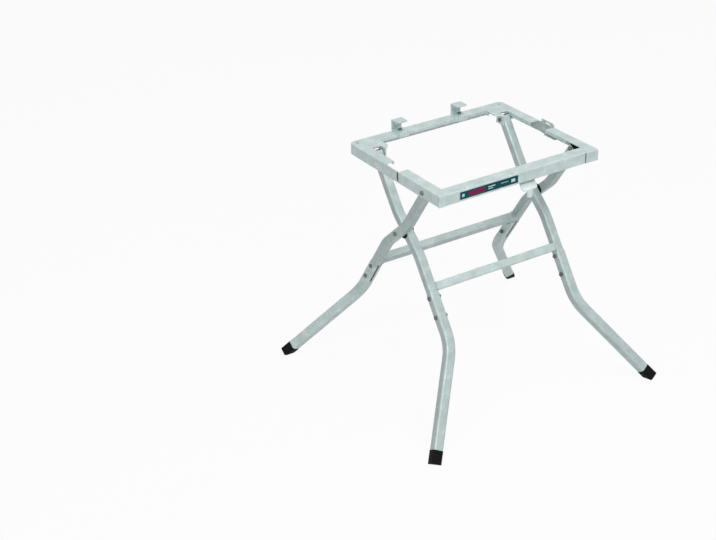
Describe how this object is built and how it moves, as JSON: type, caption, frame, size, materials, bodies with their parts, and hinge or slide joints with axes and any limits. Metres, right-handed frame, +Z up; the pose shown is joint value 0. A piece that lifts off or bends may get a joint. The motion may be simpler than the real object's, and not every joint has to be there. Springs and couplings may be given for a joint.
{
  "type": "table saw stand",
  "caption": "Folding scissor-leg steel stand with a split sliding top frame, rear hooks and a front latch, for a portable table saw.",
  "frame": {"origin": "on the floor under the middle of the stand", "axes": "+X along the front rail to the right, +Y from the front to the rear, +Z up"},
  "size_m": [0.751, 0.6544, 0.628],
  "materials": {
    "silver_paint": "silver-grey powder coat, satin",
    "dark_zinc": "dark zinc plate, dull",
    "black_rubber": "matt black",
    "black_plastic": "matt black",
    "label_film": "printed film, half gloss",
    "bright_plate": "bright zinc plate, satin"
  },
  "bodies": {
    "rear_frame": {"rear_rail": "silver_paint", "left_rear_side_rail": "silver_paint", "right_rear_side_rail": "silver_paint", "left_rear_gusset": "silver_paint", "right_rear_gusset": "silver_paint", "left_hook": "silver_paint", "right_hook": "silver_paint", "left_slide_plate": "bright_plate", "right_slide_plate": "bright_plate", "hook_bolts": "dark_zinc", "hook_nuts": "dark_zinc", "slide_rivets": "dark_zinc", "guide_clip": "silver_paint", "rear_pivot_bolts": "dark_zinc", "rear_pivot_bosses": "silver_paint"},
    "inner_legs": {"left_inner_upper_tube": "silver_paint", "right_inner_upper_tube": "silver_paint", "left_inner_lower_leg": "silver_paint", "right_inner_lower_leg": "silver_paint", "left_inner_foot": "black_rubber", "right_inner_foot": "black_rubber", "left_inner_tube_cap": "black_plastic", "right_inner_tube_cap": "black_plastic", "inner_crossbar": "silver_paint", "inner_leg_bolts": "dark_zinc", "inner_leg_nuts": "dark_zinc", "scissor_bolts": "dark_zinc", "scissor_nuts": "dark_zinc", "scissor_spacers": "black_plastic"},
    "outer_legs": {"left_outer_upper_tube": "silver_paint", "right_outer_upper_tube": "silver_paint", "left_outer_lower_leg": "silver_paint", "right_outer_lower_leg": "silver_paint", "left_outer_foot": "black_rubber", "right_outer_foot": "black_rubber", "left_outer_tube_cap": "black_plastic", "right_outer_tube_cap": "black_plastic", "outer_crossbar": "silver_paint", "outer_leg_bolts": "dark_zinc", "outer_leg_nuts": "dark_zinc"},
    "front_frame": {"front_rail": "silver_paint", "left_front_side_rail": "silver_paint", "right_front_side_rail": "silver_paint", "left_slide_guide": "black_plastic", "right_slide_guide": "black_plastic", "label": "label_film", "front_pivot_bolts": "dark_zinc", "front_pivot_nuts": "dark_zinc", "latch_rod_hangers": "silver_paint"},
    "latch": {"latch_lever": "bright_plate", "latch_rod": "bright_plate", "left_lock_cam": "bright_plate", "right_lock_cam": "bright_plate"}
  },
  "joints": [
    {"name": "fold", "type": "hinge", "parent": "rear_frame", "child": "inner_legs", "pos_m": [0, 0.121, 0.584], "axis": [-1, 0, 0], "range_deg": [0, 38.5]},
    {"name": "scissor", "type": "hinge", "parent": "inner_legs", "child": "outer_legs", "pos_m": [0, 0, 0.431], "axis": [1, 0, 0], "range_deg": [0, 77]},
    {"name": "front_pivot", "type": "hinge", "parent": "outer_legs", "child": "front_frame", "pos_m": [0, -0.121, 0.584], "axis": [-1, 0, 0], "range_deg": [0, 38.5]},
    {"name": "latch_turn", "type": "hinge", "parent": "front_frame", "child": "latch", "pos_m": [0, -0.174, 0.58], "axis": [-1, 0, 0], "range_deg": [0, 40]}
  ],
  "couplings": [
    {"joint": "scissor", "follows": "fold", "ratio": 2},
    {"joint": "front_pivot", "follows": "fold", "ratio": 1}
  ]
}
